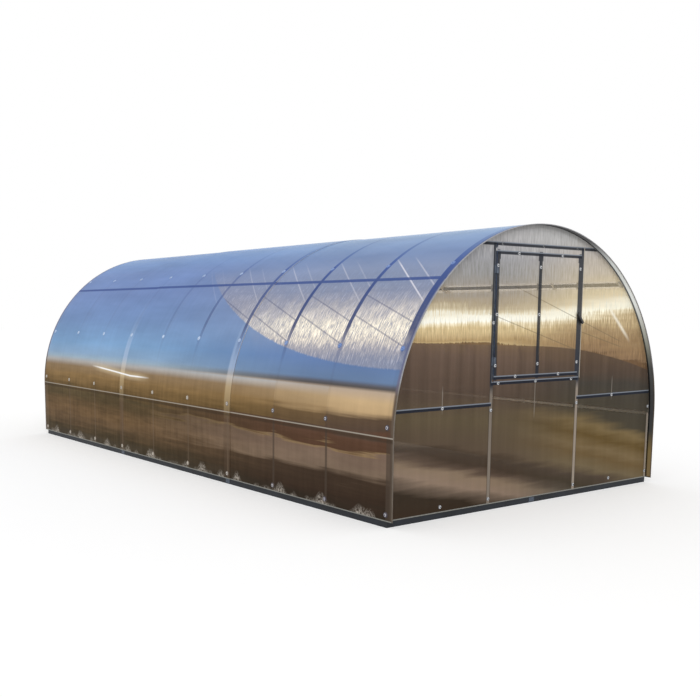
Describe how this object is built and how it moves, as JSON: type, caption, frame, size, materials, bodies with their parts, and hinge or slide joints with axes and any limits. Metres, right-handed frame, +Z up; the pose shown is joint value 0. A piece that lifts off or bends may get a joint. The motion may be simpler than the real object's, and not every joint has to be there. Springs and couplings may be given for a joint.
{
  "type": "greenhouse",
  "caption": "Arched tunnel greenhouse: bent square-tube arches on steel sills, bronze twin-wall sheets bent over them, a window in the front gable and a door in the rear one.",
  "frame": {"origin": "on the ground, at the middle of the plan", "axes": "+Z up, +Y along the tunnel away from the front gable with the window, +X to the right seen from the front"},
  "size_m": [3.0172, 6.116, 2.1084],
  "materials": {
    "frame_steel": "galvanised square tube, weathered to a dull dark grey",
    "sill_steel": "dark blue-grey paint, satin",
    "joint_plate_steel": "galvanised plate, dull",
    "cover_sheet": "bronze twin-wall polycarbonate with a blue sheen, glossy, flutes round the arch",
    "gable_sheet": "bronze twin-wall polycarbonate, glossy, upright flutes",
    "latch_plastic": "moulded black nylon",
    "hinge_steel": "zinc plated"
  },
  "bodies": {
    "root": {"arch_1": "frame_steel", "arch_10": "frame_steel", "arch_2": "frame_steel", "arch_3": "frame_steel", "arch_4": "frame_steel", "arch_5": "frame_steel", "arch_6": "frame_steel", "arch_7": "frame_steel", "arch_8": "frame_steel", "arch_9": "frame_steel", "base_sill_front": "sill_steel", "base_sill_left": "sill_steel", "base_sill_rear": "sill_steel", "base_sill_right": "sill_steel", "cover_sheet_front": "cover_sheet", "cover_sheet_middle": "cover_sheet", "cover_sheet_rear": "cover_sheet", "door_frame": "frame_steel", "door_hinges": "hinge_steel", "door_latch": "latch_plastic", "door_sheet": "gable_sheet", "front_posts": "frame_steel", "front_sheet_left": "gable_sheet", "front_sheet_lower": "gable_sheet", "front_sheet_right": "gable_sheet", "front_sheet_top": "gable_sheet", "front_side_rails": "frame_steel", "front_top_rail": "frame_steel", "lower_purlin_left": "frame_steel", "lower_purlin_right": "frame_steel", "rear_posts": "frame_steel", "rear_sheet_left": "gable_sheet", "rear_sheet_right": "gable_sheet", "rear_sheet_top": "gable_sheet", "rear_side_rails": "frame_steel", "rear_top_rail": "frame_steel", "ridge_purlin": "frame_steel", "sill_joint_plates": "joint_plate_steel", "upper_purlin_left": "frame_steel", "upper_purlin_right": "frame_steel", "window_frame": "frame_steel", "window_hinges": "hinge_steel", "window_latch": "latch_plastic", "window_rail": "frame_steel", "window_sheet": "gable_sheet"}
  },
  "joints": []
}
